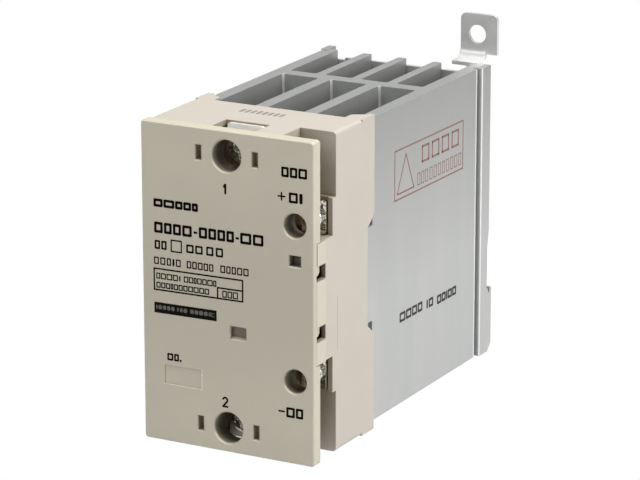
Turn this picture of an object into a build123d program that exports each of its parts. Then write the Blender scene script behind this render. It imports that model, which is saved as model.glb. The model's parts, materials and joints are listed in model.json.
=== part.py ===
"""Panel-mounted solid state relay with an integral finned heat sink.

Millimetres. Parts are drawn with X to the right, Y rearwards from the cover's front face and
Z upwards from the cover's lower edge. On export every part is moved by FRAME_SHIFT, so that
the finished frame has its origin at the centre of the two mounting holes, on the mounting
plane behind the relay.
"""

import os

from build123d import *

# ---- driving dimensions ------------------------------------------------------------------
BODY_W = 58.7
BODY_H = 100.0
MID_Z = BODY_H / 2
HALF_W = BODY_W / 2
MOUNT_Y = 121.5

# front cover
COVER_DEPTH = 4.0
COVER_SKIN = 2.0
COVER_WALL = 1.8
COVER_SIDE_STEP_Y = 1.8
COVER_SIDE_STEP_X = 24.0
COVER_CORNER_R = 1.0
COVER_EDGE_R = 0.5
RIM_CHAMFER = 0.4
WINDOW_CHAMFER = 0.3
WELL_FLOOR_Y, WELL_WALL = 2.9, 0.8
COLLAR_DEPTH = 6.5
COLLAR_WALL = 1.2
LED_X, LED_Z = 3.6, 38.3
LED_WINDOW = (5.4, 3.4)
LED_LIP = 0.9
PANE_Y = 1.5
PROBE_X, PROBE_Z = 23.0, 63.2
PROBE_WINDOW = (3.9, 3.4)
SLOT_X, SLOT_SIZE = 9.6, (2.0, 4.6)
NOTE_RECESS = (-22.0, -9.1, 18.5, 24.4)
NOTE_DEPTH = 0.3

# terminals: offset above and below mid-height, and place across the width
LOAD_X, LOAD_RISE = 0.0, 42.35
INPUT_X, INPUT_RISE = 23.0, 24.05
LOAD_HOLE_R = 4.95
INPUT_HOLE_R = 3.76
CLEARANCE = 0.05

# housing
HOUSING_Z0 = 0.3
HOUSING_TOP = BODY_H - 0.2
HOUSING_HALF = 28.8
HOUSING_CORNER_R = 1.2
HOUSING_WALL = 1.8
HOUSING_REAR_Y = 32.0
WING_MID_Y = 35.2
WING_END_Y = 39.4
WING_RISE = 18.6
WING_SLOPE = 3.0
WING_INNER_X = 22.6
SIDE_WALL = 1.4
BLOCK_Y = 2.0
BLOCK_RISE = 18.75
STRIP_END_Y = 7.9
NOTCH_RISE = 9.4
NOTCH_H = 4.7
NOTCH_END_Y = 8.3
TONGUE_X0, TONGUE_X1 = 27.4, 28.9
TONGUE_NECK_Y, TONGUE_END_Y = 3.4, 4.3
TONGUE_H = 2.8
CHANNEL_X0 = 16.8
CHANNEL_FLOOR_Y = 14.8
POCKET_RISE = 30.2
POCKET_WALL_Y = 12.7
POCKET_WALL = 1.5
DECK_Y0, DECK_Y1 = 14.8, 16.6
TERMINAL_BLOCK_Y = 19.6
LOAD_ENTRY_HALF = 7.4
LOAD_ENTRY_Y = 13.05
LOAD_CHAMBER_HALF = 8.2
LOAD_CHAMBER_DROP = 7.4
LOAD_FLOOR_Y = 14.2
INPUT_FLOOR_Y = 13.8

# heat sink, a vertical extrusion
SINK_Z0, SINK_Z1 = 2.5, 98.5
SINK_MID = (SINK_Z0 + SINK_Z1) / 2
FRAME_SHIFT = (0.0, -MOUNT_Y, -SINK_MID)
SINK_BASE_Y0, SINK_BASE_Y1 = 27.0, 32.0
SINK_HALF = 28.1
SINK_INNER = 23.55
SINK_STEP_X = 26.85
WEB_Y0, WEB_Y1 = 77.0, 81.8
FRONT_FIN_X, FRONT_FIN_T = 8.5, 4.35
REAR_FIN_X, REAR_FIN_T = 12.6, 3.2
CELL_CORNER_R, SLOT_CORNER_R = 1.2, 1.0
FIN_TIP_R, WALL_TIP_R = 0.8, 0.4
FIN_END_Y = 114.0
SINK_REAR_Y = 118.5
RAIL_EDGE_HALF = 29.3
GROOVE_X, GROOVE_Y, GROOVE_W = 26.0, 112.0, 1.0
GROOVE_LIP_R = 0.6
RECESS_HALF = 26.8

# DIN rail seat in the rear ends of the side walls
RAIL_LOW_Z = 23.2
RAIL_H = 35.0
RAIL_T = 1.0
HOOK_Y = 120.8
HOOK_Z = 24.0
SEAT_RELIEF_Y = 117.5
SEAT_RELIEF_Z = 38.0
SEAT_TAPER_Z = 44.0

# mounting bracket, one bent sheet
SHEET = 1.2
BRACKET_Z0, BRACKET_Z1 = 4.8, 96.2
EAR_X0, EAR_X1 = 22.8, 26.5
LUG_X0, LUG_X1 = 17.6, 30.5
LUG_Z0, LUG_Z1 = 101.3, 114.2
LUG_CORNER_R = 2.0
LUG_HOLE_X, LUG_HOLE_Z, LUG_HOLE_R = 23.5, 107.6, 3.0
LUG_BEND_R = 3.2
BRACKET_SCREW_R, BRACKET_SCREW_TIP = 1.0, 109.4

# sprung rail lock
LOCK_HALF = 9.0
LOCK_T = 1.6
LOCK_TRAVEL = 4.0
SPRING_R, SPRING_WIRE_R, SPRING_TURNS = 1.9, 0.3, 7
SPRING_Z0, SPRING_Z1 = 66.0, 80.0

# screws
M3_R, M3_HEAD_R, M3_HEAD_H, M3_TIP_Y = 1.5, 2.8, 2.0, 30.8
LOAD_SCREW = dict(
    r=2.5,
    head_r=4.6,
    head_h=3.0,
    length=9.4,
    washer=(12.4, 12.4),
    washer_t=1.2,
    lip=0.7,
    plate_y=13.0,
)
INPUT_SCREW = dict(
    r=1.75,
    head_r=3.45,
    head_h=2.4,
    length=7.0,
    washer=(8.1, 9.8),
    washer_t=1.0,
    lip=0.5,
    plate_y=12.8,
)

# electronics
BOARD = (-24.0, 14.6, 11.4, 13.0, 30.8, 69.2)
MODULE_Y0, MODULE_Y1 = 19.0, 24.8
MODULE_BASE_Y1 = 26.8


# ---- helpers -----------------------------------------------------------------------------
def block(x0, x1, y0, y1, z0, z1):
    """Axis-aligned box between two corners."""
    centre = ((x0 + x1) / 2, (y0 + y1) / 2, (z0 + z1) / 2)
    return Pos(*centre) * Box(abs(x1 - x0), abs(y1 - y0), abs(z1 - z0))


def rod(x, z, radius, y0, y1):
    """Cylinder along Y."""
    return Pos(x, (y0 + y1) / 2, z) * Rot(90, 0, 0) * Cylinder(radius, abs(y1 - y0))


def post(x, y, radius, z0, z1):
    """Cylinder along Z."""
    return Pos(x, y, (z0 + z1) / 2) * Cylinder(radius, abs(z1 - z0))


def mirrored_z(shape):
    """Copy of a shape mirrored top to bottom about mid-height."""
    return mirror(shape, about=Plane.XY.offset(MID_Z))


def mirrored_x(shape):
    """Copy of a shape mirrored left to right."""
    return mirror(shape, about=Plane.YZ)


def both_ends(shape):
    """A shape and its top-to-bottom mirror image."""
    return [shape, mirrored_z(shape)]


def load_places():
    return [(LOAD_X, MID_Z + LOAD_RISE), (LOAD_X, MID_Z - LOAD_RISE)]


def input_places():
    return [(INPUT_X, MID_Z + INPUT_RISE), (INPUT_X, MID_Z - INPUT_RISE)]


def save(name, *solids):
    """Write one node, moved into the finished frame."""
    pieces = []
    for solid in solids:
        pieces.extend(solid.moved(Location(FRAME_SHIFT)).solids())
    node = pieces[0] if len(pieces) == 1 else Compound(pieces)
    node.label = name
    export_step(node, f"parts/{name}.step")


# ---- front cover -------------------------------------------------------------------------
def cover_tongue():
    """Right-hand tongue that seats in a notch of the housing's side block, upper of two."""
    top = MID_Z + NOTCH_RISE + NOTCH_H / 2 - 0.1
    outline = Polyline(
        (1.0, top),
        (1.0, top - TONGUE_H),
        (TONGUE_NECK_Y, top - TONGUE_H),
        (TONGUE_END_Y, top - TONGUE_H + 0.9),
        (TONGUE_END_Y, top),
        close=True,
    )
    hook = extrude(Plane.YZ * make_face(outline), TONGUE_X1 - TONGUE_X0)
    return Pos(TONGUE_X0, 0, 0) * hook


def hole_rim(x, z, radius):
    """Small chamfer round the front of an access hole."""
    start = (Align.CENTER, Align.CENTER, Align.MIN)
    ring = Cone(radius + RIM_CHAMFER, radius, RIM_CHAMFER, align=start)
    return Pos(x, -0.01, z) * Rot(-90, 0, 0) * ring


def window(x, z, size, y1, y0=-1.0):
    """Rectangular bar along Y, used for openings through the cover's skin."""
    half_w, half_h = size[0] / 2, size[1] / 2
    return block(x - half_w, x + half_w, y0, y1, z - half_h, z + half_h)


def window_rim(x, z, size):
    """Small chamfer round the front of a rectangular opening."""
    front = Plane(origin=(x, -0.01, z), x_dir=(1, 0, 0), z_dir=(0, 1, 0))
    grow = 2 * WINDOW_CHAMFER
    outline = front * Rectangle(size[0] + grow, size[1] + grow)
    return extrude(outline, WINDOW_CHAMFER, taper=45)


def led_lip():
    """Sloped lower edge of the indicator window."""
    low = LED_Z - LED_WINDOW[1] / 2
    outline = Polyline(
        (-0.1, low + 0.2),
        (-0.1, low - LED_LIP),
        (PANE_Y, low),
        (PANE_Y, low + 0.2),
        close=True,
    )
    wedge = extrude(Plane.YZ * make_face(outline), LED_WINDOW[0])
    return Pos(LED_X - LED_WINDOW[0] / 2, 0, 0) * wedge


def wells():
    """Rectangular openings that are closed by a floor behind: place and size of each."""
    found = [(x + side, z, SLOT_SIZE) for x, z in load_places() for side in (-SLOT_X, SLOT_X)]
    return found + [(PROBE_X, PROBE_Z, PROBE_WINDOW)]


def front_cover():
    shell = block(-HALF_W, HALF_W, 0, COVER_DEPTH, 0, BODY_H)
    shell = fillet(shell.edges().filter_by(Axis.Y), COVER_CORNER_R)
    shell = fillet(shell.faces().sort_by(Axis.Y)[0].edges(), COVER_EDGE_R)
    inner = HALF_W - COVER_WALL
    cavity = block(-inner, inner, COVER_SKIN, COVER_DEPTH + 1, COVER_WALL, BODY_H - COVER_WALL)
    shell -= cavity
    gap = BLOCK_RISE + 0.2
    low, high = MID_Z - gap, MID_Z + gap
    step = block(COVER_SIDE_STEP_X, HALF_W + 1, COVER_SIDE_STEP_Y, COVER_DEPTH + 1, low, high)
    shell -= [step, mirrored_x(step)]

    holes = [(x, z, LOAD_HOLE_R) for x, z in load_places()]
    holes += [(x, z, INPUT_HOLE_R) for x, z in input_places()]
    for x, z, radius in holes:
        shell += rod(x, z, radius + COLLAR_WALL, COVER_SKIN / 2, COLLAR_DEPTH)
    shell += [block(-24, 24, 1, 3.4, z, z + 1.2) for z in (29.0, 69.8)]
    upper = cover_tongue()
    for tongue in (upper, Pos(0, 0, -2 * NOTCH_RISE) * upper):
        shell += [tongue, mirrored_x(tongue)]
    for x, z, size in wells():
        outer = (size[0] + 2 * WELL_WALL, size[1] + 2 * WELL_WALL)
        shell += window(x, z, outer, COVER_DEPTH - 0.2, 1.0)
    for x, z, radius in holes:
        bore = rod(x, z, radius, -1, COLLAR_DEPTH + 1)
        shell -= [bore, hole_rim(x, z, radius)]

    for x, z, size in wells():
        shell -= [window(x, z, size, WELL_FLOOR_Y), window_rim(x, z, size)]
    led = window(LED_X, LED_Z, LED_WINDOW, COVER_SKIN + 2)
    shell -= [led, window_rim(LED_X, LED_Z, LED_WINDOW), led_lip()]
    x0, x1, z0, z1 = NOTE_RECESS
    shell -= block(x0, x1, -1, NOTE_DEPTH, z0, z1)
    return shell


def light_pipe():
    """Clear indicator window; its flange bears on the back of the cover's skin."""
    w, h = LED_WINDOW[0] - 0.1, LED_WINDOW[1] - 0.1
    pane = window(LED_X, LED_Z, (w, h), COVER_SKIN + 0.5, PANE_Y)
    flange = window(LED_X, LED_Z, (w + 1.6, h + 1.6), COVER_SKIN + 0.9, COVER_SKIN)
    stem = rod(LED_X, LED_Z, 1.4, COVER_SKIN + 0.5, 6.8)
    return pane + flange + stem


# ---- housing -----------------------------------------------------------------------------
def wing_gap():
    """Space cut behind the side wall at mid-height, with sloped ends."""
    low, high = MID_Z - WING_RISE, MID_Z + WING_RISE
    outline = Polyline(
        (WING_MID_Y, low + WING_SLOPE),
        (WING_END_Y + 1, low - 1.0),
        (WING_END_Y + 1, high + 1.0),
        (WING_MID_Y, high - WING_SLOPE),
        close=True,
    )
    return extrude(Plane.YZ * make_face(outline), 40, both=True)


def top_wing():
    """Lip over one heat-sink side wall, at the top right."""
    outline = Polyline(
        (WING_INNER_X, HOUSING_REAR_Y - 0.5),
        (HOUSING_HALF, HOUSING_REAR_Y - 0.5),
        (HOUSING_HALF, WING_END_Y),
        (WING_INNER_X, WING_MID_Y + 0.6),
        close=True,
    )
    lip = extrude(make_face(outline), HOUSING_TOP - SINK_Z1 - CLEARANCE)
    return Pos(0, 0, SINK_Z1 + CLEARANCE) * lip


def load_chamber(z):
    """Terminal chamber with its wire opening, nut pocket and screw hole, upper terminal."""
    z0, z1 = z - LOAD_CHAMBER_DROP, HOUSING_TOP - HOUSING_WALL
    room = block(-LOAD_CHAMBER_HALF, LOAD_CHAMBER_HALF, 0, LOAD_FLOOR_Y, z0, z1)
    entry = block(-LOAD_ENTRY_HALF, LOAD_ENTRY_HALF, 0, LOAD_ENTRY_Y, z1 - 1, HOUSING_TOP + 1)
    nut = block(-4.1, 4.1, LOAD_FLOOR_Y - 0.1, 18.3, z - 4.1, z + 4.1)
    hole = rod(LOAD_X, z, 2.9, LOAD_FLOOR_Y, 24)
    return [room, entry, nut, hole]


def input_chamber(z):
    """Channel and terminal pocket on the right, upper terminal."""
    z0, z1 = MID_Z + BLOCK_RISE, MID_Z + POCKET_RISE
    channel = block(CHANNEL_X0, HOUSING_HALF + 1, -1, CHANNEL_FLOOR_Y, z1, HOUSING_TOP + 1)
    mouth = block(CHANNEL_X0, HOUSING_HALF + 1, -1, POCKET_WALL_Y, z0, z1 + 1)
    pocket = block(CHANNEL_X0, HOUSING_HALF - POCKET_WALL, -1, INPUT_FLOOR_Y, z0, z1 + 0.1)
    nut = block(INPUT_X - 3.1, INPUT_X + 3.1, INPUT_FLOOR_Y - 0.1, 16.7, z - 3.1, z + 3.1)
    hole = rod(INPUT_X, z, 2.0, INPUT_FLOOR_Y, 24)
    return [channel, mouth, pocket, nut, hole]


def housing_shell():
    """Outer body with its side blocks, opened at the rear to take the heat sink."""
    half = HOUSING_HALF
    body = block(-half, half, COVER_DEPTH, WING_END_Y, HOUSING_Z0, HOUSING_TOP)
    body = fillet(body.edges().filter_by(Axis.Y), HOUSING_CORNER_R)
    low, high = MID_Z - BLOCK_RISE, MID_Z + BLOCK_RISE
    side = block(half - SIDE_WALL, HALF_W - 0.05, BLOCK_Y, STRIP_END_Y, low, high)
    side = fillet(side.edges().filter_by(Axis.Z).group_by(Axis.X)[-1], 0.4)
    body += [side, mirrored_x(side)]

    # between the side wings the body stops at the heat sink's front, and the base sits inside
    inner = SINK_STEP_X + 0.1
    body -= block(-inner, inner, HOUSING_REAR_Y, WING_END_Y + 1, HOUSING_Z0 - 1, HOUSING_TOP + 1)
    low, high = SINK_Z0 - CLEARANCE, SINK_Z1 + CLEARANCE
    body -= block(-inner, inner, SINK_BASE_Y0, WING_END_Y + 1, low, high)
    body -= wing_gap()
    for lip in both_ends(top_wing()):
        body += [lip, mirrored_x(lip)]
    return body


def housing():
    body = housing_shell()

    # rear cavity round the electronics, with four screw posts and the two terminal blocks
    rear = block(-24.9, 24.9, DECK_Y1, SINK_BASE_Y0 + 1, 4.5, 95.5)
    rear -= both_ends(block(-10.5, 24.9, DECK_Y1 - 1, TERMINAL_BLOCK_Y, 83.5, 96))
    rear -= both_ends(block(15.5, 24.9, DECK_Y1 - 1, TERMINAL_BLOCK_Y - 1, 68, 84))
    for x, z in housing_screw_places():
        rear -= rod(x, z, 3.6, DECK_Y1 - 1, SINK_BASE_Y0 + 2)
    body -= rear

    # front cavity for the control board, and the left-hand spaces beside the load chambers
    body -= block(-26.1, 15.3, 0, DECK_Y0, 17.6, 82.4)
    body -= block(15.2, HOUSING_HALF - SIDE_WALL, 0, DECK_Y0, 33.2, 66.8)
    body -= both_ends(block(-26.1, -10.2, 0, DECK_Y0, 82.3, HOUSING_TOP - HOUSING_WALL))
    body -= both_ends(block(10.2, 15.3, 0, DECK_Y0, 82.3, HOUSING_TOP - HOUSING_WALL))

    z_load = MID_Z + LOAD_RISE
    z_input = MID_Z + INPUT_RISE
    for cut in load_chamber(z_load) + input_chamber(z_input):
        body -= both_ends(cut)
    for shape in both_ends(load_bus(grow=CLEARANCE)) + both_ends(input_tail(grow=CLEARANCE)):
        body -= shape
    for x, z in housing_screw_places():
        body -= rod(x, z, 1.6, DECK_Y0 - 1, SINK_BASE_Y0 + 1)
    body -= block(-8, 8, DECK_Y0 - 1, DECK_Y1 + 1, 48.6, 51.4)

    # notches for the cover's tongues
    half = NOTCH_H / 2
    notch_z = MID_Z + NOTCH_RISE
    notch = block(23.9, HALF_W + 1, 0, NOTCH_END_Y, notch_z - half, notch_z + half)
    for cut in both_ends(notch):
        body -= [cut, mirrored_x(cut)]

    # posts that carry the control board
    for x, z in board_post_places():
        body += rod(x, z, 1.6, BOARD[3] + CLEARANCE, DECK_Y0 + 0.5)
    return body


def housing_screw_places():
    return [(x, z) for x in (-20.5, 11.0) for z in (24.2, 75.8)]


def board_post_places():
    return [(x, z) for x in (-21.5, 12.0) for z in (33.4, 66.6)]


# ---- heat sink ---------------------------------------------------------------------------
def rounded_cell(x0, x1, y0, y1, radius):
    """Rounded rectangle in the plan view."""
    centre = Pos((x0 + x1) / 2, (y0 + y1) / 2)
    return centre * RectangleRounded(x1 - x0, y1 - y0, radius)


def plan_rect(x0, x1, y0, y1):
    """Plain rectangle in the plan view."""
    return Pos((x0 + x1) / 2, (y0 + y1) / 2) * Rectangle(x1 - x0, y1 - y0)


def sink_profile():
    plan = plan_rect(-SINK_HALF, SINK_HALF, SINK_BASE_Y0, HOOK_Y)
    plan += plan_rect(-RAIL_EDGE_HALF, RAIL_EDGE_HALF, GROOVE_Y, HOOK_Y)

    # three closed cells in front of the web
    fin = FRONT_FIN_T / 2
    edges = [-SINK_INNER, -FRONT_FIN_X, FRONT_FIN_X, SINK_INNER]
    for left, right in zip(edges[:-1], edges[1:]):
        x0 = left + (fin if left > -SINK_INNER else 0)
        x1 = right - (fin if right < SINK_INNER else 0)
        plan -= rounded_cell(x0, x1, SINK_BASE_Y1, WEB_Y0, CELL_CORNER_R)

    # four slots behind it, open to the rear
    fin = REAR_FIN_T / 2
    edges = [-SINK_INNER, -REAR_FIN_X, 0, REAR_FIN_X, SINK_INNER]
    for left, right in zip(edges[:-1], edges[1:]):
        x0 = left + (fin if left > -SINK_INNER else 0)
        x1 = right - (fin if right < SINK_INNER else 0)
        plan -= rounded_cell(x0, x1, WEB_Y1, HOOK_Y + 10, SLOT_CORNER_R)
    plan -= plan_rect(-RECESS_HALF, RECESS_HALF, FIN_END_Y, HOOK_Y + 10)

    # narrow groove down each outer face, with rolled lips
    half = GROOVE_W / 2
    groove = plan_rect(GROOVE_X, RAIL_EDGE_HALF + 1, GROOVE_Y - half, GROOVE_Y + half)

    # front corners are stepped in, so that the housing's side walls lie flush
    step = plan_rect(SINK_STEP_X, SINK_HALF + 1, SINK_BASE_Y0 - 1, WING_MID_Y + 0.1)
    for cut in (groove, step):
        plan -= cut
        plan -= mirrored_x(cut)
    return plan


def rail_seat_cut():
    """What is machined off the rear ends of both side walls to take the rail."""
    top = SINK_Z1 + 1
    far = HOOK_Y + 2
    outline = Polyline(
        (SINK_REAR_Y, top),
        (SINK_REAR_Y, SEAT_TAPER_Z),
        (SEAT_RELIEF_Y, SEAT_RELIEF_Z),
        (SEAT_RELIEF_Y, HOOK_Z),
        (SINK_REAR_Y, HOOK_Z),
        (SINK_REAR_Y, RAIL_LOW_Z - 0.7),
        (SINK_REAR_Y + RAIL_T + 0.1, RAIL_LOW_Z - 0.7),
        (SINK_REAR_Y + RAIL_T + 0.1, HOOK_Z),
        (far, HOOK_Z),
        (far, top),
        close=True,
    )
    return extrude(Plane.YZ * make_face(outline), 40, both=True)


def upright_edges(shape, x_low, x_high, y_low, y_high):
    """Vertical edges whose plan position lies in a band of |X| and Y."""
    found = []
    for edge in shape.edges().filter_by(Axis.Z):
        place = edge @ 0.5
        if x_low < abs(place.X) < x_high and y_low < place.Y < y_high:
            found.append(edge)
    return found


def heat_sink():
    sink = Pos(0, 0, SINK_Z0) * extrude(sink_profile(), SINK_Z1 - SINK_Z0)
    tips = upright_edges(sink, -1, REAR_FIN_X + 3, FIN_END_Y - 0.1, FIN_END_Y + 0.1)
    sink = fillet(tips, FIN_TIP_R)
    reach = GROOVE_W * 0.8
    lips = upright_edges(sink, SINK_HALF - 0.1, RAIL_EDGE_HALF + 1, GROOVE_Y - reach, GROOVE_Y + reach)
    sink = fillet(lips, GROOVE_LIP_R)
    near, far = SINK_INNER - 0.1, SINK_INNER + 0.1
    inner = upright_edges(sink, near, far, FIN_END_Y - 0.1, FIN_END_Y + 0.1)
    sink = fillet(inner, WALL_TIP_R)
    sink -= rail_seat_cut()
    foot = Polyline(
        (HOOK_Y + 1, SINK_Z0 - 1),
        (HOOK_Y - 3.5, SINK_Z0 - 1),
        (HOOK_Y + 1, SINK_Z0 + 3.6),
        close=True,
    )
    sink -= extrude(Plane.YZ * make_face(foot), 40, both=True)

    # corner reliefs under the housing's wings
    relief_z = MID_Z + WING_RISE - WING_SLOPE - 0.4
    relief = block(SINK_STEP_X, SINK_HALF + 1, SINK_BASE_Y0, WING_END_Y + 0.1, relief_z, SINK_Z1 + 1)
    for cut in both_ends(relief):
        sink -= [cut, mirrored_x(cut)]

    for x, z in housing_screw_places():
        sink -= rod(x, z, M3_R + CLEARANCE, SINK_BASE_Y0 - 1, M3_TIP_Y + 0.4)
    for x, z in module_screw_places():
        sink -= rod(x, z, M3_R + CLEARANCE, SINK_BASE_Y0 - 1, M3_TIP_Y + 0.4)
    for x, z in bracket_screw_places():
        sink -= rod(x, z, BRACKET_SCREW_R + CLEARANCE, BRACKET_SCREW_TIP - 0.1, FIN_END_Y + 1)
    return sink


# ---- mounting bracket and rail lock ----------------------------------------------------
def bracket_screw_places():
    return [(x, z) for x in (-REAR_FIN_X, REAR_FIN_X) for z in (14.0, 86.0)]


def lug():
    """Upper right lug: ear, rearward shelf, bend and upright tab with its hole."""
    y0, y1 = FIN_END_Y, FIN_END_Y + SHEET
    bend_y = MOUNT_Y - SHEET - LUG_BEND_R
    floor, top = SINK_Z1, SINK_Z1 + SHEET
    ear = block(EAR_X0, EAR_X1, y0, y1, BRACKET_Z1 - 4, top)
    shelf = block(LUG_X0, EAR_X1, y0, bend_y, floor, top)
    width = EAR_X1 - LUG_X0
    bend = Cylinder(LUG_BEND_R + SHEET, width) - Cylinder(LUG_BEND_R, width)
    bend = Pos((LUG_X0 + EAR_X1) / 2, bend_y, top + LUG_BEND_R) * Rot(0, 90, 0) * bend
    bend &= block(LUG_X0 - 1, EAR_X1 + 1, bend_y, MOUNT_Y + 1, floor - 1, top + LUG_BEND_R)
    neck = block(LUG_X0, EAR_X1, MOUNT_Y - SHEET, MOUNT_Y, top + LUG_BEND_R - 0.01, LUG_Z0 + 3)
    tab = block(LUG_X0, LUG_X1, MOUNT_Y - SHEET, MOUNT_Y, LUG_Z0, LUG_Z1)
    corners = tab.edges().filter_by(Axis.Y).sort_by(Axis.Z)
    tab = fillet(corners[-2:], LUG_CORNER_R)
    below = top + LUG_BEND_R
    tab -= block(LUG_X0 - 1, EAR_X1, MOUNT_Y - SHEET - 1, MOUNT_Y + 1, LUG_Z0 - 1, below)
    piece = ear + shelf + bend + neck + tab
    piece -= rod(LUG_HOLE_X, LUG_HOLE_Z, LUG_HOLE_R, MOUNT_Y - 5, MOUNT_Y + 1)
    return piece


def lock_guide():
    """Right-hand guide clip that holds the rail lock against the bracket."""
    y = FIN_END_Y + SHEET
    post_part = block(LOCK_HALF + 0.1, LOCK_HALF + 1.3, y - 0.5, y + LOCK_T + 1.3, 70, 77)
    lip = block(LOCK_HALF - 1.4, LOCK_HALF + 1.3, y + LOCK_T + 0.1, y + LOCK_T + 1.3, 70, 77)
    return post_part + lip


def spring_anchor():
    """Tab on the bracket that the lock's spring pushes against."""
    y = FIN_END_Y + SHEET
    return block(-2.6, 2.6, y - 0.5, y + 4.6, SPRING_Z1, SPRING_Z1 + SHEET)


def mounting_bracket():
    y0, y1 = FIN_END_Y, FIN_END_Y + SHEET
    half = RECESS_HALF - 0.2
    plate = block(-half, half, y0, y1, BRACKET_Z0, BRACKET_Z1)
    corner = block(21.0, half + 1, y0 - 1, y1 + 1, BRACKET_Z1 - 0.8, BRACKET_Z1 + 5)
    for cut in (corner, mirror(corner, about=Plane.XY.offset(SINK_MID))):
        plate -= [cut, mirrored_x(cut)]
    upper = lug()
    lower = upper.rotate(Axis((0, 0, SINK_MID), (0, 1, 0)), 180)
    plate += [upper, lower]
    guide = lock_guide()
    plate += [guide, mirrored_x(guide), spring_anchor()]
    for x, z in bracket_screw_places():
        plate -= rod(x, z, BRACKET_SCREW_R + CLEARANCE, y0 - 1, y1 + 1)
    for z in (34.0, 46.0):
        plate -= rod(0, z, 3.0, y0 - 1, y1 + 1)
    return plate


def rail_lock():
    """Sprung slide whose lip closes behind the rail's upper edge."""
    y = FIN_END_Y + SHEET + CLEARANCE
    rail_top = RAIL_LOW_Z + RAIL_H
    plate = block(-LOCK_HALF, LOCK_HALF, y, y + LOCK_T, rail_top + 0.3, 88.0)
    clear_z = SPRING_Z1 + SHEET + LOCK_TRAVEL + 1.3
    plate -= block(-3.0, 3.0, y - 1, y + LOCK_T + 1, SPRING_Z0, clear_z)
    lip_y = SINK_REAR_Y + RAIL_T + 0.1
    shelf_z = rail_top + 0.3
    shelf = block(-LOCK_HALF, LOCK_HALF, y, lip_y + SHEET, shelf_z, shelf_z + SHEET)
    lip = block(-LOCK_HALF, LOCK_HALF, lip_y, lip_y + SHEET, rail_top - 2.2, rail_top + 1.0)
    seat = block(-2.6, 2.6, y, FIN_END_Y + SHEET + 4.6, SPRING_Z0 - SHEET, SPRING_Z0 - CLEARANCE)
    lock = plate + shelf + lip + seat
    outer = lock.faces().sort_by(Axis.Y)[-1].edges().filter_by(Axis.X).sort_by(Axis.Z)
    lock = fillet(outer[0], 0.5)
    return lock


def lock_spring():
    """Compression spring between the lock's seat and the bracket's anchor."""
    low = SPRING_Z0 + SPRING_WIRE_R
    height = SPRING_Z1 - SPRING_Z0 - 2 * SPRING_WIRE_R - CLEARANCE
    centre_y = FIN_END_Y + SHEET + 0.4 + SPRING_R + SPRING_WIRE_R
    path = Helix(pitch=height / SPRING_TURNS, height=height, radius=SPRING_R)
    section = Plane(origin=path @ 0, z_dir=path % 0) * Circle(SPRING_WIRE_R)
    coil = sweep(section, path=path, is_frenet=True)
    return Pos(0, centre_y, low) * coil


# ---- terminals ---------------------------------------------------------------------------
def load_bus(grow=0.0):
    """Copper bar from the upper load terminal back to the power module, optionally enlarged."""
    z = MID_Z + LOAD_RISE
    g = grow
    if grow:
        face = block(-6.6 - g, 6.6 + g, 13.0 - g, LOAD_FLOOR_Y + g, z - 6.8 - g, z)
    else:
        face = block(-6.6, 6.6, 13.0, LOAD_FLOOR_Y, z - 6.8, z + 5.0)
    drop = block(-4.0 - g, 4.0 + g, 13.0 - g, LOAD_FLOOR_Y + g, z - 9.0 - g, z - 6.0 + g)
    back = block(-4.0 - g, 4.0 + g, 13.0 - g, 21.8 + g, z - 9.0 - g, z - 7.8 + g)
    leg = block(-4.0 - g, 4.0 + g, 20.6 - g, 21.8 + g, 62.2 - g, z - 7.8 + g)
    return face + drop + back + leg


def load_terminal():
    z = MID_Z + LOAD_RISE
    return load_bus() - rod(LOAD_X, z, LOAD_SCREW["r"] + CLEARANCE, 10, 16)


def input_tail(grow=0.0):
    """Strip from the upper input terminal to the control board, optionally enlarged."""
    g = grow
    z = MID_Z + 20.6
    return block(12.6 - g, INPUT_X, 12.8 - g, INPUT_FLOOR_Y + g, z - g, z + 2.2 + g)


def input_terminal():
    z = MID_Z + INPUT_RISE
    plate = block(CHANNEL_X0 + 1.6, 26.9, 12.8, INPUT_FLOOR_Y, z - 4.6, z + 4.9)
    tongue = input_tail()
    step = block(12.6, 14.2, 10.9, 12.85, 70.6, 71.8)
    plate += [tongue, step]
    return plate - rod(INPUT_X, z, INPUT_SCREW["r"] + CLEARANCE, 10, 16)


def square_nut(x, z, size, thick, y0, bore):
    nut = block(x - size / 2, x + size / 2, y0, y0 + thick, z - size / 2, z + size / 2)
    nut = fillet(nut.edges().filter_by(Axis.Y), 0.6)
    return nut - rod(x, z, bore, y0 - 1, y0 + thick + 1)


def clamp(x, z, spec):
    """Clamping washer, reaching a little further towards the wire's side."""
    half_w, half_h = spec["washer"][0] / 2, spec["washer"][1] / 2
    thick = spec["washer_t"]
    y1 = spec["plate_y"] - CLEARANCE
    up = spec["lip"] if z > MID_Z else 0
    down = spec["lip"] if z < MID_Z else 0
    z0, z1 = z - half_h - down, z + half_h + up
    washer = block(x - half_w, x + half_w, y1 - thick, y1, z0, z1)
    washer = fillet(washer.edges().filter_by(Axis.Y), 0.8)
    return washer - rod(x, z, spec["r"] + CLEARANCE, y1 - 3, y1 + 1)


def terminal_screw(x, z, spec):
    """Pan-head screw with a combined cross and slot recess."""
    radius, height = spec["head_r"], spec["head_h"]
    seat = spec["plate_y"] - 2 * CLEARANCE - spec["washer_t"]
    front = seat - height
    head = rod(x, z, radius, front, seat)
    head = fillet(head.faces().sort_by(Axis.Y)[0].edges(), height * 0.45)
    reach, half, deep = radius * 0.62, radius * 0.11, front + height * 0.6
    cross = block(x - reach, x + reach, front - 1, deep, z - half, z + half)
    cross += block(x - half, x + half, front - 1, deep, z - reach, z + reach)
    slot = block(x - radius, x + radius, front - 1, front + height * 0.27, z - half, z + half)
    shank = rod(x, z, spec["r"], seat - 0.5, seat + spec["length"])
    shank = chamfer(shank.faces().sort_by(Axis.Y)[-1].edges(), 0.5)
    return head - cross - slot + shank


# ---- electronics ---------------------------------------------------------------------------
def module_screw_places():
    return [(-16.8, 50.0), (16.8, 50.0)]


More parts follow.
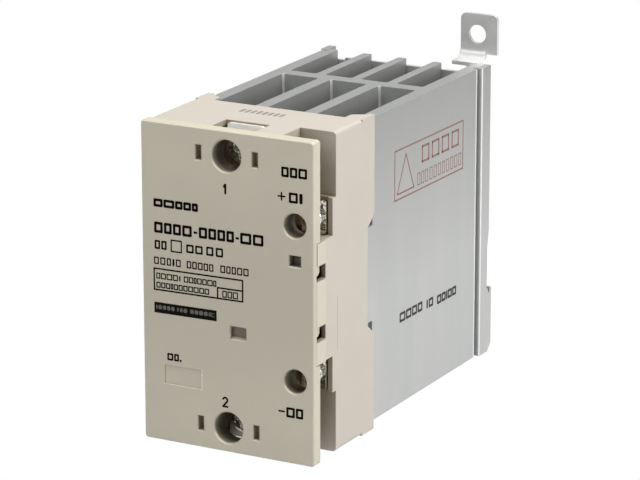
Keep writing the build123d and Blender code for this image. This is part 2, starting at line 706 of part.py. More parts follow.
def m3_screw(x, z, seat_y):
    """M3 pan-head screw driven rearwards into the heat sink, head in front of seat_y."""
    front = seat_y - M3_HEAD_H
    head = rod(x, z, M3_HEAD_R, front, seat_y)
    head = fillet(head.faces().sort_by(Axis.Y)[0].edges(), M3_HEAD_H * 0.5)
    reach, half, deep = M3_HEAD_R * 0.55, M3_HEAD_R * 0.24, front + M3_HEAD_H * 0.55
    cross = block(x - reach, x + reach, front - 1, deep, z - half, z + half)
    cross += block(x - half, x + half, front - 1, deep, z - reach, z + reach)
    return head - cross + rod(x, z, M3_R, seat_y - 0.3, M3_TIP_Y)


def bracket_screw(x, z):
    """Screw driven forwards into the heat sink, its head behind the bracket."""
    seat = FIN_END_Y + SHEET
    head = rod(x, z, 1.75, seat, seat + 1.3)
    head = fillet(head.faces().sort_by(Axis.Y)[-1].edges(), 0.5)
    cross = block(x - 0.9, x + 0.9, seat + 0.6, seat + 3, z - 0.2, z + 0.2)
    cross += block(x - 0.2, x + 0.2, seat + 0.6, seat + 3, z - 0.9, z + 0.9)
    return head - cross + rod(x, z, BRACKET_SCREW_R, BRACKET_SCREW_TIP, seat + 0.3)


def thermal_pad():
    pad = block(-20, 20, MODULE_BASE_Y1, SINK_BASE_Y0, 34, 66)
    for x, z in module_screw_places():
        pad -= rod(x, z, 2.0, MODULE_BASE_Y1 - 1, SINK_BASE_Y0 + 1)
    return pad


def module_base():
    base = block(-20.5, 20.5, MODULE_Y1, MODULE_BASE_Y1, 33.5, 66.5)
    base = fillet(base.edges().filter_by(Axis.Y), 2.0)
    for x, z in module_screw_places():
        base -= rod(x, z, 1.65, MODULE_Y1 - 1, MODULE_BASE_Y1 + 1)
    return base


def module_case():
    case = block(-13.2, 13.2, MODULE_Y0, MODULE_Y1, 35.0, 65.0)
    case = fillet(case.faces().sort_by(Axis.Y)[0].edges(), 0.8)
    for cut in both_ends(block(-4.0 - CLEARANCE, 4.0 + CLEARANCE, 20.5, 21.9, 62.1, 66)):
        case -= cut
    for x in gate_pin_places():
        case -= rod(x, MID_Z, 0.4 + CLEARANCE, MODULE_Y0 - 1, MODULE_Y0 + 2)
    return case


def gate_pin_places():
    return [-6.0, -2.0, 2.0, 6.0]


def control_board():
    board = block(*BOARD)
    for x in gate_pin_places():
        board -= rod(x, MID_Z, 0.4 + CLEARANCE, BOARD[2] - 1, BOARD[3] + 1)
    for strip in both_ends(block(12.5, 14.3, BOARD[2] - 1, BOARD[3] + 1, 68.6, 72.0)):
        board -= strip
    for x, z in board_post_places():
        board -= rod(x, z, 0.9, BOARD[2] - 1, BOARD[3] + 1)
    return board


def on_board(x0, x1, height, z0, z1, radius=0.3):
    """Soft-edged component body standing on the board's front face."""
    part = block(x0, x1, BOARD[2] - height, BOARD[2], z0, z1)
    return fillet(part.edges().filter_by(Axis.Y), radius)


def photocoupler():
    body = on_board(-21.0, -12.0, 3.6, 45.0, 52.0)
    dot = rod(-19.8, 50.8, 0.5, BOARD[2] - 4.5, BOARD[2] - 3.4)
    return body - dot


def snubber_capacitor():
    return on_board(-8.5, 8.5, 6.0, 59.0, 65.0, 0.8)


def snubber_resistor():
    body = Pos(-16.0, BOARD[2] - 1.7, 61.5) * Rot(0, 90, 0) * Cylinder(1.6, 9.0)
    return fillet(body.edges(), 0.5)


def varistor():
    disc = rod(-15.0, 38.0, 4.0, BOARD[2] - 3.6, BOARD[2])
    return fillet(disc.edges(), 0.9)


def rectifier():
    return on_board(5.0, 11.5, 2.6, 43.0, 47.5)


def chip_resistors():
    places = [(-7.0, 34.0), (-7.0, 37.5), (-3.5, 34.0), (9.0, 53.0), (9.0, 56.0), (-8.0, 55.5)]
    return [on_board(x, x + 3.2, 0.7, z, z + 1.6, 0.1) for x, z in places]


def driver_transistors():
    return [on_board(x, x + 3.0, 1.3, 41.0, 43.5, 0.15) for x in (-8.0, -3.0)]


def indicator_led():
    """Small domed lamp standing on the board behind the light pipe."""
    base = rod(LED_X, LED_Z, 1.9, BOARD[2] - 1.0, BOARD[2])
    stem = rod(LED_X, LED_Z, 1.5, BOARD[2] - 3.0, BOARD[2])
    dome = Pos(LED_X, BOARD[2] - 3.0, LED_Z) * Sphere(1.5)
    return base + stem + dome


def gate_pins():
    return [rod(x, MID_Z, 0.4, BOARD[2] - 0.8, MODULE_Y0 + 1.8) for x in gate_pin_places()]


# ---- write every node ----------------------------------------------------------------------
def main():
    os.makedirs("parts", exist_ok=True)
    save("front_cover", front_cover())
    save("light_pipe", light_pipe())
    save("housing", housing())
    save("heat_sink", heat_sink())
    save("mounting_bracket", mounting_bracket())
    save("bracket_screws", *[bracket_screw(x, z) for x, z in bracket_screw_places()])
    save("rail_lock", rail_lock())
    save("rail_lock_spring", lock_spring())
    save("housing_screws", *[m3_screw(x, z, DECK_Y0) for x, z in housing_screw_places()])
    save("module_screws", *[m3_screw(x, z, MODULE_Y1) for x, z in module_screw_places()])
    save("thermal_pad", thermal_pad())
    save("module_base", module_base())
    save("module_case", module_case())
    save("control_board", control_board())
    save("gate_pins", *gate_pins())
    save("photocoupler", photocoupler())
    save("snubber_capacitor", snubber_capacitor())
    save("snubber_resistor", snubber_resistor())
    save("varistor", varistor())
    save("rectifier", rectifier())
    save("chip_resistors", *chip_resistors())
    save("driver_transistors", *driver_transistors())
    save("indicator_led", indicator_led())

    bus = load_terminal()
    save("load_terminal_1", bus)
    save("load_terminal_2", mirrored_z(bus))
    strip = input_terminal()
    save("input_terminal_a1", strip)
    save("input_terminal_a2", mirrored_z(strip))
    load_bore = LOAD_SCREW["r"] + CLEARANCE
    input_bore = INPUT_SCREW["r"] + CLEARANCE
    save("load_nuts", *[square_nut(x, z, 8.0, 4.0, LOAD_FLOOR_Y, load_bore) for x, z in load_places()])
    nuts = [square_nut(x, z, 6.0, 2.8, INPUT_FLOOR_Y, input_bore) for x, z in input_places()]
    save("input_nuts", *nuts)
    for name, (x, z) in zip(("1", "2"), load_places()):
        save(f"load_clamp_{name}", clamp(x, z, LOAD_SCREW))
        save(f"load_screw_{name}", terminal_screw(x, z, LOAD_SCREW))
    for name, (x, z) in zip(("a1", "a2"), input_places()):
        save(f"input_clamp_{name}", clamp(x, z, INPUT_SCREW))
        save(f"input_screw_{name}", terminal_screw(x, z, INPUT_SCREW))


main()
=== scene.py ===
"""Looks for the solid state relay: procedural materials, printed marks, light and camera."""

import json
import math

import bmesh
import bpy
from mathutils import Matrix, Vector


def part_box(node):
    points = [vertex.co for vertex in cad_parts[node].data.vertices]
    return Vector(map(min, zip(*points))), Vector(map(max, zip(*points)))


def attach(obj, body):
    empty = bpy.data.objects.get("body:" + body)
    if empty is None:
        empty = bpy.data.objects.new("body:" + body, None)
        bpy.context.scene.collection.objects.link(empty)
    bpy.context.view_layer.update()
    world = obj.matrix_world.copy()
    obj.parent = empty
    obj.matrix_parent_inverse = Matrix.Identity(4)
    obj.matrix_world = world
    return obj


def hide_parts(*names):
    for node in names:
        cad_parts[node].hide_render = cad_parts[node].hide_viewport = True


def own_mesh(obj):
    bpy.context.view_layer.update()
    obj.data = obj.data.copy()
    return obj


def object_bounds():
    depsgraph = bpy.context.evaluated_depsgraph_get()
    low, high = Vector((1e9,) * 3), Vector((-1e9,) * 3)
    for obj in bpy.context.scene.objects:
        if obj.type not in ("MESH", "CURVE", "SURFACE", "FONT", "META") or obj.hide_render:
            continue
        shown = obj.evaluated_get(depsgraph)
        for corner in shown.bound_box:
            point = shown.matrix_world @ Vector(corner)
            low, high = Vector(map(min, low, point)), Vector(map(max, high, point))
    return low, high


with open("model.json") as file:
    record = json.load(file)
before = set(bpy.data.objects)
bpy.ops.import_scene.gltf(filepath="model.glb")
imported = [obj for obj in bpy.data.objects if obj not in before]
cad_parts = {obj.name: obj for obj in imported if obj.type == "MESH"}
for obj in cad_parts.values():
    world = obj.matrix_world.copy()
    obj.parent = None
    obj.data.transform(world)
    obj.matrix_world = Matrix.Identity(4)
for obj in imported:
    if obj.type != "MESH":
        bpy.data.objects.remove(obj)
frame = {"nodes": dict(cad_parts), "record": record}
LOW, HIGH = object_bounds()
NODES = frame["nodes"]

MM = 0.001


def mm(metres):
    """Millimetres, to the nearest micrometre."""
    return round(metres / MM, 3)


cover_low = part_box("front_cover")[0]
housing_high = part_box("housing")[1]
sink_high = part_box("heat_sink")[1]
clamp_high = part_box("load_clamp_1")[1]

# Lengths and places are in millimetres, with y from the cover's front face and z from its
# lower edge. place() turns them into metres in the frame.
DEPTH = mm(-cover_low.y)
RISE = mm(-cover_low.z)
TOP_Z = mm(housing_high.z) + RISE
BLOCK_SIDE_X = mm(housing_high.x)
STRIP_EDGE_X = BLOCK_SIDE_X - 0.4
WING_SIDE_X = BLOCK_SIDE_X - 0.5
SINK_SIDE_X = mm(sink_high.x) - 1.2
# Where the painted highlights on the heat sink's groove lips lie.
GROOVE_EDGE_X = SINK_SIDE_X - 0.1
GROOVE_Y = 112.0
# Where the painted shade in openings lies: the span of each slot beside the load screws, and the
# depths where it begins and is full.
SLOT_INNER_X, SLOT_OUTER_X = 8.2, 11.0
POCKET_START_Y, POCKET_DARK_Y = 0.7, 3.2

# Heights from the frame's origin, half-way up the heat sink.
SINK_TOP = mm(sink_high.z)
# Bands of painted light and shade: a whitened shelf on the plated sheet, darker upper heat-sink
# sides, shade across the cover's middle and highlighted clamp ends.
SHELF_LOW, SHELF_HIGH = SINK_TOP - 0.1, SINK_TOP + 1.3
SHADE_LOW, SHADE_HIGH = -10.0, SINK_TOP
BELT_LOW, BELT_HIGH, BELT_SOFT = -22.0, 24.0, 16.0
CLAMP_END = mm(clamp_high.z) - 2.75

# Printed rows lean a little: rise per millimetre, and the place where a row is level.
COVER_ROW_LEAN, COVER_ROW_LEVEL = 0.015, -25.3
SIDE_ROW_LEAN, SIDE_ROW_LEVEL = -0.012, 77.0

# The camera's place is in millimetres as above; the studio is in metres in the frame.
CAMERA_AT = (492.18, -849.68, 352.78)
CAMERA_YAW, CAMERA_PITCH, CAMERA_ROLL = 28.468, 16.251, -0.040
SENSOR_WIDTH, LENS = 36.0, 193.98
FLOOR_HALF, FLOOR_DROP = 6.0, 0.0005
DOME_FOOT, DOME_LOW, DOME_HIGH = -0.1, 0.28, 0.5
SOFTBOXES = (
    # name, place, width, height, watts
    ("key_top", (0.25, -0.15, 1.5), 1.0, 1.0, 22.5),
    ("side_right", (1.4, 0.1, 0.6), 0.8, 0.8, 18.6),
    ("front_high", (-0.3, -1.4, 0.9), 1.0, 0.7, 7.9),
)


def place(x, y, z):
    """Metres in the frame, from millimetres measured from the cover's front and lower edge."""
    return Vector((x * MM, (y - DEPTH) * MM, (z - RISE) * MM))


# ---- node helpers ------------------------------------------------------------------------
class Graph:
    """A material's node tree with short ways to add and join nodes."""

    def __init__(self, name):
        self.mat = bpy.data.materials.new(name)
        self.mat.use_nodes = True
        self.tree = self.mat.node_tree
        self.tree.nodes.clear()
        self.out = self.tree.nodes.new("ShaderNodeOutputMaterial")
        self.coords = self.tree.nodes.new("ShaderNodeTexCoord").outputs["Object"]

    def node(self, kind, **props):
        made = self.tree.nodes.new(kind)
        for key, value in props.items():
            setattr(made, key, value)
        return made

    def link(self, a, b):
        self.tree.links.new(a, b)

    def feed(self, socket, value):
        if isinstance(value, bpy.types.NodeSocket):
            self.link(value, socket)
        else:
            socket.default_value = value

    def scaled(self, sx, sy, sz):
        m = self.node("ShaderNodeMapping")
        m.inputs["Scale"].default_value = (sx / MM, sy / MM, sz / MM)
        self.link(self.coords, m.inputs["Vector"])
        return m.outputs["Vector"]

    def noise(self, per_mm, detail=3.0, rough=0.55, stretch=(1, 1, 1)):
        n = self.node("ShaderNodeTexNoise")
        self.link(self.scaled(*[per_mm * s for s in stretch]), n.inputs["Vector"])
        n.inputs["Scale"].default_value = 1.0
        n.inputs["Detail"].default_value = detail
        n.inputs["Roughness"].default_value = rough
        return n.outputs["Fac"]

    def math(self, op, a, b=0.0):
        n = self.node("ShaderNodeMath", operation=op)
        self.feed(n.inputs[0], a)
        self.feed(n.inputs[1], b)
        return n.outputs[0]

    def remap(self, value, a0, a1, b0, b1):
        n = self.node("ShaderNodeMapRange")
        self.feed(n.inputs["Value"], value)
        for key, v in (("From Min", a0), ("From Max", a1), ("To Min", b0), ("To Max", b1)):
            n.inputs[key].default_value = v
        return n.outputs["Result"]

    def mix(self, fac, a, b):
        n = self.node("ShaderNodeMix", data_type="RGBA")
        self.feed(n.inputs[0], fac)
        self.feed(n.inputs[6], a)
        self.feed(n.inputs[7], b)
        return n.outputs[2]

    def axis(self, name):
        n = self.node("ShaderNodeSeparateXYZ")
        self.link(self.coords, n.inputs[0])
        return n.outputs[name]

    def soft_normal(self, radius_mm, samples=6):
        n = self.node("ShaderNodeBevel", samples=samples)
        n.inputs["Radius"].default_value = radius_mm * MM
        return n.outputs["Normal"]

    def openness(self, reach_mm, samples=8):
        """1 on open faces, falling towards 0 deep in pockets."""
        n = self.node("ShaderNodeAmbientOcclusion", samples=samples)
        n.inputs["Distance"].default_value = reach_mm * MM
        return n.outputs["AO"]

    def band(self, value, low, high, soft):
        """1 between two values, fading to 0 over a soft edge."""
        rise = self.remap(value, low - soft, low + soft, 0.0, 1.0)
        fall = self.remap(value, high - soft, high + soft, 1.0, 0.0)
        return self.math("MULTIPLY", rise, fall)

    def facing(self, x, y, z, low, high):
        """1 where the surface looks along a direction, fading to 0 below `low`."""
        n = self.node("ShaderNodeVectorMath", operation="DOT_PRODUCT")
        self.link(self.node("ShaderNodeNewGeometry").outputs["Normal"], n.inputs[0])
        n.inputs[1].default_value = Vector((x, y, z)).normalized()
        return self.remap(n.outputs["Value"], low, high, 0.0, 1.0)

    def bump(self, height, distance_mm, strength=1.0, normal=None):
        n = self.node("ShaderNodeBump")
        n.inputs["Strength"].default_value = strength
        n.inputs["Distance"].default_value = distance_mm * MM
        self.link(height, n.inputs["Height"])
        if normal is not None:
            self.link(normal, n.inputs["Normal"])
        return n.outputs["Normal"]

    def surface(self, **inputs):
        n = self.node("ShaderNodeBsdfPrincipled")
        for key, value in inputs.items():
            self.feed(n.inputs[key.replace("_", " ")], value)
        self.link(n.outputs[0], self.out.inputs["Surface"])


def rgba(r, g, b):
    return (r, g, b, 1.0)


def shade(colour, k):
    return rgba(*[c * k for c in colour[:3]])


# ---- materials ---------------------------------------------------------------------------
def moulded(
    name, colour, rough=0.5, spec=0.35, grain=7.0, edge=0.25, mottle=0.03, pocket_shade=None, slot_shade=None,
    strip=None, top=1.0, middle=1.0,
):
    """Spark-eroded moulded plastic: fine grain, soft edges, faint flow mottling.

    `pocket_shade` is the painted shade deep in openings, `slot_shade` the lighter painted shade in
    each narrow slot beside the load screws, `strip` the tone of the side blocks' raised strip,
    `top` paints light onto faces that look up, and `middle` paints shade across the middle of the
    height.
    """
    g = Graph(name)
    flow = g.noise(0.05, 2.0)
    speck = g.noise(1.6, 2.0)
    dull, clean = shade(colour, 1 - mottle), shade(colour, 1 + mottle)
    tone = g.mix(g.remap(flow, 0.3, 0.7, 0.0, 1.0), dull, clean)
    tone = g.mix(g.remap(speck, 0.35, 0.65, 0.0, 0.35), tone, shade(colour, 0.97))
    # Painted shade across the middle of the height.
    if middle != 1.0:
        middle_shade_band = g.band(g.axis("Z"), BELT_LOW * MM, BELT_HIGH * MM, BELT_SOFT * MM)
        tone = g.mix(middle_shade_band, tone, shade(colour, middle))
    across = g.math("ABSOLUTE", g.axis("X"))
    if strip:
        raised = g.math("GREATER_THAN", across, STRIP_EDGE_X * MM)
        tone = g.mix(raised, tone, rgba(*strip))
    # Painted highlight on faces that look up and forward, such as the lower rims of holes and the
    # upper edges.
    lit = g.facing(0.35, -0.707, 0.6, 0.86, 0.97)
    tone = g.mix(lit, tone, shade(colour, 1.45))
    # Painted light on faces that look up.
    if top > 1.0:
        tone = g.mix(g.facing(0, 0, 1, 0.5, 0.9), tone, shade(colour, top))
    # Painted shade in openings: 0.62 of the colour just inside the rim, deepening to the full tone
    # further in, only where the surface is closed in.
    if pocket_shade:
        start, end = (POCKET_START_Y - DEPTH) * MM, (POCKET_DARK_Y - DEPTH) * MM
        depth = g.remap(g.axis("Y"), start, end, 0.0, 1.0)
        dark = g.mix(depth, shade(colour, 0.62), rgba(*pocket_shade))
        if slot_shade:
            in_slot = g.band(across, SLOT_INNER_X * MM, SLOT_OUTER_X * MM, 0.1 * MM)
            dark = g.mix(in_slot, dark, rgba(*slot_shade))
        shade_mask = g.remap(g.openness(14.0), 0.3, 0.88, 1.0, 0.0)
        inside = g.remap(g.axis("Y"), start - 0.35 * MM, start, 0.0, 1.0)
        tone = g.mix(g.math("MULTIPLY", shade_mask, inside), tone, dark)
    grainy = g.noise(grain, 3.0, 0.6)
    normal = g.bump(grainy, 0.012, 0.5, g.soft_normal(edge))
    gloss = g.remap(speck, 0.3, 0.7, rough - 0.05, rough + 0.06)
    g.surface(Base_Color=tone, Roughness=gloss, Specular_IOR_Level=spec, Normal=normal)
    return g.mat


def extruded_aluminium(name):
    """Satin anodised extrusion: die lines run up the length, faint blotches across.

    Painted highlights brighten the rolled groove lips and the rounded inner corners;
    painted shade darkens the fin cells and the upper part of the right side.
    """
    g = Graph(name)
    lines = g.noise(1.5, 4.0, 0.7, stretch=(1.0, 1.0, 0.012))
    wide = g.noise(0.12, 3.0, 0.5, stretch=(1.0, 1.0, 0.15))
    grain = g.noise(5.0, 2.0)
    dark, pale = rgba(0.395, 0.40, 0.393), rgba(0.435, 0.44, 0.432)
    blotch, cell_shade = rgba(0.375, 0.385, 0.38), rgba(0.39, 0.412, 0.40)
    upper_side_shade, painted_highlight = rgba(0.285, 0.287, 0.278), rgba(0.80, 0.81, 0.80)
    base = g.mix(g.remap(lines, 0.3, 0.7, 0.0, 1.0), dark, pale)
    base = g.mix(g.remap(wide, 0.35, 0.65, 0.0, 0.5), base, blotch)
    # Painted shade in the fin cells, where the surface is closed in.
    open_air = g.remap(g.openness(25.0), 0.2, 0.8, 0.0, 1.0)
    base = g.mix(open_air, cell_shade, base)
    y = g.axis("Y")
    # Painted highlight bands on the groove lips, kept to the outer faces.
    rolled = 0.0
    for low, high, share in ((-1.75, -0.9, 0.7), (0.55, 0.85, 0.35)):
        start, end = GROOVE_Y + low - DEPTH, GROOVE_Y + high - DEPTH
        lip = g.band(y, start * MM, end * MM, 0.1 * MM)
        rolled = g.math("ADD", rolled, g.math("MULTIPLY", lip, share))
    outward = g.math("GREATER_THAN", g.math("ABSOLUTE", g.axis("X")), GROOVE_EDGE_X * MM)
    # Painted shade on the upper part of the right side, darker towards the top.
    rise = g.remap(g.axis("Z"), SHADE_LOW * MM, SHADE_HIGH * MM, 0, 1)
    upper_side = g.math("MULTIPLY", g.facing(1, 0, 0, 0.8, 0.95), rise)
    base = g.mix(upper_side, base, upper_side_shade)
    # Painted highlight on the rounded inner corners.
    corner = g.facing(0.707, -0.707, 0.0, 0.90, 0.97)
    shine = g.math("MAXIMUM", g.math("MULTIPLY", rolled, outward), g.math("MULTIPLY", corner, 0.8))
    base = g.mix(shine, base, painted_highlight)
    rough = g.remap(lines, 0.25, 0.75, 0.40, 0.52)
    height = g.math("ADD", g.math("MULTIPLY", lines, 0.7), g.math("MULTIPLY", grain, 0.3))
    normal = g.bump(height, 0.02, 0.35, g.soft_normal(0.3))
    g.surface(Base_Color=base, Metallic=0.5, Roughness=rough, Normal=normal)
    return g.mat


def rolled_sheet(name, colour):
    """Zinc-plated rolled sheet with fine directional scratches, and a painted reflection that
    whitens its shelves and upward faces.
    """
    g = Graph(name)
    roll = g.noise(2.5, 4.0, 0.65, stretch=(0.06, 1.0, 1.0))
    cloud = g.noise(0.25, 3.0)
    tone = g.mix(g.remap(cloud, 0.3, 0.7, 0.0, 1.0), shade(colour, 0.93), shade(colour, 1.05))
    normal = g.bump(roll, 0.015, 0.4, g.soft_normal(0.2))
    rough = g.remap(roll, 0.3, 0.7, 0.30, 0.44)
    # Painted reflection: faces that look up and the shelf band over the heat sink's top turn white.
    height = g.math("ABSOLUTE", g.axis("Z"))
    shelf = g.band(height, SHELF_LOW * MM, SHELF_HIGH * MM, 0.1 * MM)
    white = g.math("MAXIMUM", g.facing(0, 0, 1, 0.5, 0.9), shelf)
    tone = g.mix(white, tone, rgba(0.86, 0.86, 0.85))
    g.surface(Base_Color=tone, Metallic=0.6, Roughness=rough, Normal=normal)
    return g.mat


def bright_metal(name, colour, rough, dents=0.0, rolled=0.0):
    """Plated fastener or stamping metal with fine tool marks.

    `dents` adds tumbling marks, and `rolled` paints a pale highlight on the ends and turns their
    shading upwards.
    """
    g = Graph(name)
    metallic = 1.0
    marks = g.noise(6.0, 4.0, 0.7, stretch=(1.0, 0.3, 1.0))
    cloud = g.noise(0.9, 2.0)
    tone = g.mix(g.remap(cloud, 0.3, 0.7, 0.0, 1.0), shade(colour, 0.88), shade(colour, 1.06))
    normal = g.soft_normal(0.12)
    # Painted highlight: beyond CLAMP_END the ends turn pale and less metallic, with their shading
    # tilted upwards.
    if rolled:
        end = g.math("GREATER_THAN", g.math("ABSOLUTE", g.axis("Z")), CLAMP_END * MM)
        tone = g.mix(end, tone, rgba(0.95, 0.93, 0.86))
        metallic = g.math("SUBTRACT", 1.0, g.math("MULTIPLY", end, 0.7))
        lift = g.node("ShaderNodeCombineXYZ")
        g.link(g.math("MULTIPLY", end, rolled), lift.inputs["Z"])
        tilt = g.node("ShaderNodeVectorMath", operation="ADD")
        g.link(normal, tilt.inputs[0])
        g.link(lift.outputs[0], tilt.inputs[1])
        turned = g.node("ShaderNodeVectorMath", operation="NORMALIZE")
        g.link(tilt.outputs[0], turned.inputs[0])
        normal = turned.outputs[0]
    normal = g.bump(marks, 0.02, 0.5, normal)
    if dents:
        normal = g.bump(g.noise(0.7, 1.0), 0.35, dents, normal)
    finish = g.remap(marks, 0.3, 0.7, rough - 0.06, rough + 0.08)
    g.surface(Base_Color=tone, Metallic=metallic, Roughness=finish, Normal=normal)
    return g.mat


def glossy(name, colour, rough):
    """Dipped, glazed or laminated part with slight surface waviness."""
    g = Graph(name)
    wave = g.noise(2.0, 3.0)
    fine = g.noise(12.0, 2.0)
    tone = g.mix(g.remap(wave, 0.3, 0.7, 0.0, 1.0), shade(colour, 0.85), shade(colour, 1.12))
    normal = g.bump(fine, 0.01, 0.4, g.soft_normal(0.15))
    gloss = g.remap(wave, 0.3, 0.7, rough - 0.04, rough + 0.05)
    g.surface(Base_Color=tone, Roughness=gloss, Normal=normal)
    return g.mat


def ink(name, colour):
    """Pad-printed ink with slightly uneven density; the same finish also carries painted lines of
    light and shade.
    """
    g = Graph(name)
    patch = g.noise(3.0, 3.0)
    tone = g.mix(g.remap(patch, 0.3, 0.7, 0.0, 1.0), shade(colour, 0.75), shade(colour, 1.3))
    gloss = g.remap(patch, 0.3, 0.7, 0.5, 0.65)
    g.surface(Base_Color=tone, Roughness=gloss, Specular_IOR_Level=0.05)
    return g.mat


COVER = (0.434, 0.405, 0.325)
HOUSING = (0.408, 0.372, 0.325)
# The cover's and housing's opening tones, and their top and middle factors, are painted light and
# shade.
MATERIALS = {
    "cover_plastic": moulded(
        "cover_plastic",
        COVER,
        edge=0.35,
        pocket_shade=(0.05, 0.04, 0.022),
        slot_shade=(0.28, 0.25, 0.18),
        top=1.2,
        middle=0.92,
    ),
    "housing_plastic": moulded(
        "housing_plastic", HOUSING, pocket_shade=(0.245, 0.19, 0.12), strip=(0.44, 0.41, 0.34), top=1.2
    ),
    "clear_plastic": glossy("clear_plastic", (0.11, 0.095, 0.065), 0.3),
    "extruded_aluminium": extruded_aluminium("extruded_aluminium"),
    "plated_sheet": rolled_sheet("plated_sheet", (0.61, 0.61, 0.60)),
    "plated_steel": bright_metal("plated_steel", (0.74, 0.72, 0.65), 0.15, dents=0.8),
    "spring_steel": bright_metal("spring_steel", (0.45, 0.45, 0.45), 0.3),
    "tinned_copper": bright_metal("tinned_copper", (0.62, 0.58, 0.50), 0.32),
    "thermal_silicone": moulded("thermal_silicone", (0.30, 0.36, 0.42), 0.8),
    "black_plastic": moulded("black_plastic", (0.03, 0.03, 0.032), 0.45),
    "board_laminate": glossy("board_laminate", (0.02, 0.10, 0.04), 0.35),
    "white_ceramic": glossy("white_ceramic", (0.60, 0.58, 0.53), 0.3),
    "blue_epoxy": glossy("blue_epoxy", (0.03, 0.08, 0.28), 0.3),
    "lamp_resin": glossy("lamp_resin", (0.35, 0.03, 0.02), 0.2),
}
BLACK_INK = ink("black_ink", (0.003, 0.0026, 0.002))
RED_INK = ink("red_ink", (0.21, 0.112, 0.10))
GREY_INK = ink("grey_ink", (0.045, 0.045, 0.043))
PALE_INK = ink("pale_ink", (0.10, 0.092, 0.078))
TOP_INK = ink("top_ink", (0.24, 0.23, 0.215))
SEAM_TONE = ink("seam_tone", (0.27, 0.24, 0.20))
# A painted highlight for a lit edge, and a painted shadow for a gap.
LIT_TONE = ink("lit_tone", (0.60, 0.57, 0.48))
GAP_SHADOW = ink("gap_shadow", (0.16, 0.14, 0.10))

# The load clamps' ends carry a painted highlight.
CLAMP_STEEL = bright_metal("clamp_steel", (0.50, 0.48, 0.43), 0.2, dents=0.5, rolled=1.2)

for part in frame["record"]["subparts"]:
    mesh = NODES[part["node"]].data
    mesh.materials.clear()
    mesh.materials.append(MATERIALS[part["material_slot"]])
for name in ("load_clamp_1", "load_clamp_2"):
    NODES[name].data.materials[0] = CLAMP_STEEL


def lock_coil():
    """The rail lock's spring, as a copy that rides on the base in place of the hidden original."""
    coil = bpy.data.objects.new("rail_lock_coil", NODES["rail_lock_spring"].data.copy())
    bpy.context.scene.collection.objects.link(coil)
    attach(coil, "base")
    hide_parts("rail_lock_spring")
    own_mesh(coil)


lock_coil()


# ---- printed marks -----------------------------------------------------------------------
class Print:
    """Flat ink shapes on one face, gathered into a single thin mesh.

    u runs to the right and v upwards, in millimetres; `at` turns them into a point in space,
    given the height above the surface.
    """

    def __init__(self, name, at, material, thick=0.02):
        self.name, self.at, self.material, self.thick = name, at, material, thick
        self.mesh = bmesh.new()

    def polygon(self, points):
        top = [self.mesh.verts.new(self.at(u, v, self.thick)) for u, v in points]
        low = [self.mesh.verts.new(self.at(u, v, -self.thick)) for u, v in points]
        self.mesh.faces.new(top)
        self.mesh.faces.new(list(reversed(low)))
        for i in range(len(points)):
            j = (i + 1) % len(points)
            self.mesh.faces.new((top[j], top[i], low[i], low[j]))

    def bar(self, u0, u1, v0, v1, corner=0.25):
        r = min(corner, (u1 - u0) / 2.01, (v1 - v0) / 2.01)
        points = []
        right, left, upper, lower = u1 - r, u0 + r, v1 - r, v0 + r
        corners = ((right, upper, 0), (left, upper, 90), (left, lower, 180), (right, lower, 270))
        for cu, cv, start in corners:
            for step in range(5):
                a = math.radians(start + step * 22.5)
                points.append((cu + r * math.cos(a), cv + r * math.sin(a)))
        self.polygon(points)

    def stroke(self, points, width, closed=False):
        """Even-width line through points, as one short bar per leg with round joints."""
        legs = list(zip(points, points[1:] + (points[:1] if closed else [])))
        for (a, b), (c, d) in legs:
            along = math.atan2(d - b, c - a)
            ring = []
            for cu, cv, start in ((c, d, -90), (a, b, 90)):
                for step in range(7):
                    t = along + math.radians(start + step * 30)
                    ring.append((cu + width / 2 * math.cos(t), cv + width / 2 * math.sin(t)))
            self.polygon(ring)

    def frame(self, u0, u1, v0, v1, width):
        self.stroke([(u0, v0), (u1, v0), (u1, v1), (u0, v1)], width, closed=True)

    def words(self, u0, v0, height, lengths, gap, line=0.0):
        """A row of plain rounded bars, or of empty boxes when `line` is given, in place of words.

        A box too narrow to leave a gap inside its line is a bar.
        """
        inset = height * (0.1 if line else 0.14)
        low, high = v0 + inset, v0 + height - inset
        half = line / 2
        for length in lengths:
            if line and length > 2.3 * line:
                self.frame(u0 + half, u0 + length - half, low + half, high - half, line)
            else:
                self.bar(u0, u0 + length, low, high, height * 0.25)
            u0 += length + gap

    def done(self, body):
        bmesh.ops.recalc_face_normals(self.mesh, faces=self.mesh.faces)
        data = bpy.data.meshes.new(self.name)
        self.mesh.to_mesh(data)
        self.mesh.free()
        data.materials.append(self.material)
        obj = bpy.data.objects.new(self.name, data)
        bpy.context.scene.collection.objects.link(obj)
        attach(obj, body)


def on_cover(u, v, h):
    return place(u, -h, v + COVER_ROW_LEAN * (u - COVER_ROW_LEVEL))


def on_cover_level(u, v, h):
    return place(u, -h, v)


def on_right(u, v, h):
    return place(SINK_SIDE_X + h, u, v + SIDE_ROW_LEAN * (u - SIDE_ROW_LEVEL))


def on_top(u, v, h):
    return place(u, v, TOP_Z + h)


def on_block(u, v, h):
    return place(BLOCK_SIDE_X + h, u, v)


def on_wing(u, v, h):
    return place(WING_SIDE_X + h, u, v)


def numeral_one(pen, u, v, height, width):
    pen.stroke([(u - height * 0.18, v + height * 0.74), (u, v + height), (u, v)], width)


def numeral_two(pen, u, v, height, width):
    points = []
    r = height * 0.27
    for step in range(9):
        a = math.radians(160 - step * 25)
        points.append((u + r * math.cos(a), v + height - r + r * math.sin(a)))
    points.append((u - r, v))
    points.append((u + r * 1.05, v))
    pen.stroke(points, width)


def minus(pen, u, v, arm, width):
    pen.stroke([(u - arm, v), (u + arm, v)], width)


def plus(pen, u, v, arm, width):
    minus(pen, u, v, arm, width)
    pen.stroke([(u, v - arm), (u, v + arm)], width)


